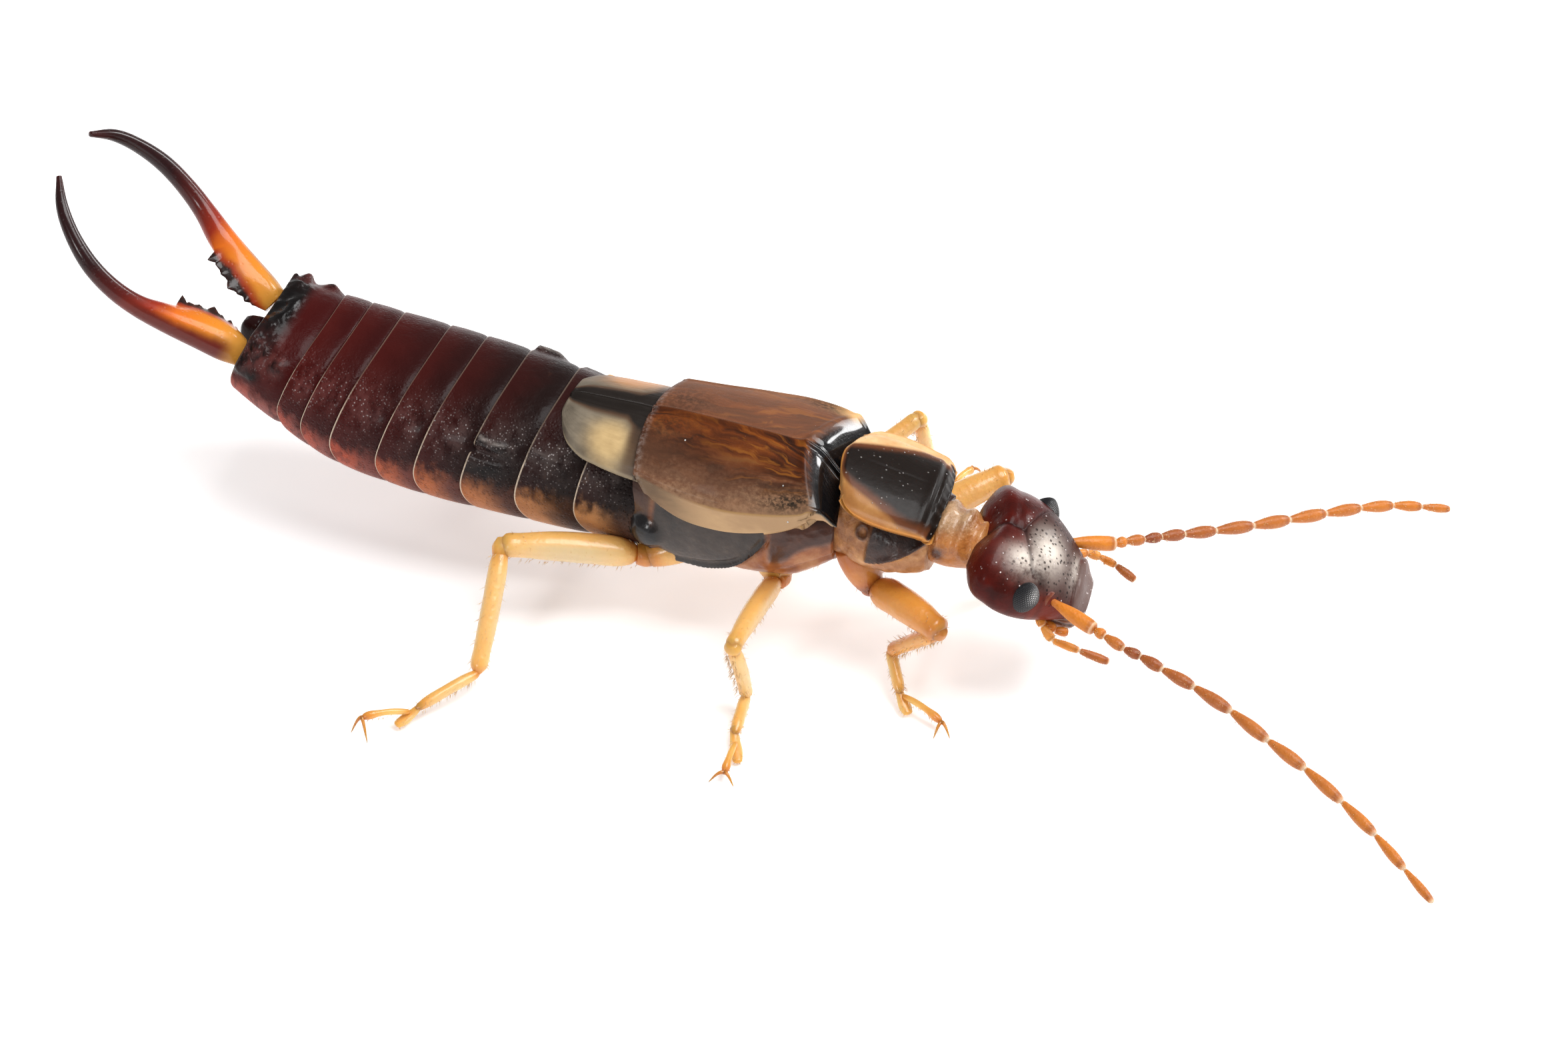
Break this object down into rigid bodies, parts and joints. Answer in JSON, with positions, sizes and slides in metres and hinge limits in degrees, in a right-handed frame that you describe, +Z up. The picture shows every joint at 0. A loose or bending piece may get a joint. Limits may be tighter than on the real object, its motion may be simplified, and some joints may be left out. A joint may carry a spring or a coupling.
{
  "type": "earwig",
  "caption": "Male earwig standing on its feet, tail raised, with curved forceps, short wing cases, thread-like feelers and slender legs; a still model at life size.",
  "frame": {"origin": "middle of the whole animal's box on the floor it stands on", "axes": "+X forward from tail to head, +Y to the animal's left, +Z up"},
  "size_m": [0.0238, 0.0114, 0.0054],
  "materials": {
    "chestnut": "glossy dark mahogany shell, punctured on the brow",
    "eye": "black faceted dome",
    "mouth": "grey-brown mouth plates",
    "amber": "clear amber-yellow legs and palps",
    "russet": "orange-brown feelers with pale rings",
    "membrane": "folded whitish-tan neck skin",
    "shield": "black neck shield with cream side margins",
    "pleura": "glossy chocolate plates on orange membrane",
    "wing_case": "leathery brown wing case with orange streaks and a pale edge",
    "wing_packet": "cream satin patch with a dark seam",
    "tergite": "dark maroon rings with fine punctures",
    "forceps": "amber base turning to glossy maroon-black"
  },
  "bodies": {
    "root": {"head": "chestnut", "mouthparts": "mouth", "neck": "membrane", "pronotum": "shield", "prothorax": "pleura", "pterothorax": "pleura", "eye_left": "eye", "antenna_left": "russet", "palp_left": "amber", "tegmen_left": "wing_case", "wing_left": "wing_packet", "cercus_left": "forceps", "eye_right": "eye", "antenna_right": "russet", "palp_right": "amber", "tegmen_right": "wing_case", "wing_right": "wing_packet", "cercus_right": "forceps", "abdomen_2": "tergite", "abdomen_3": "tergite", "abdomen_4": "tergite", "abdomen_5": "tergite", "abdomen_6": "tergite", "abdomen_7": "tergite", "abdomen_8": "tergite", "abdomen_9": "tergite", "abdomen_10": "tergite", "pygidium": "tergite", "coxa_front_left": "amber", "femur_front_left": "amber", "tibia_front_left": "amber", "tarsus_front_left": "amber", "claws_front_left": "amber", "coxa_front_right": "amber", "femur_front_right": "amber", "tibia_front_right": "amber", "tarsus_front_right": "amber", "claws_front_right": "amber", "coxa_middle_left": "amber", "femur_middle_left": "amber", "tibia_middle_left": "amber", "tarsus_middle_left": "amber", "claws_middle_left": "amber", "coxa_middle_right": "amber", "femur_middle_right": "amber", "tibia_middle_right": "amber", "tarsus_middle_right": "amber", "claws_middle_right": "amber", "coxa_hind_left": "amber", "femur_hind_left": "amber", "tibia_hind_left": "amber", "tarsus_hind_left": "amber", "claws_hind_left": "amber", "coxa_hind_right": "amber", "femur_hind_right": "amber", "tibia_hind_right": "amber", "tarsus_hind_right": "amber", "claws_hind_right": "amber"}
  },
  "joints": []
}
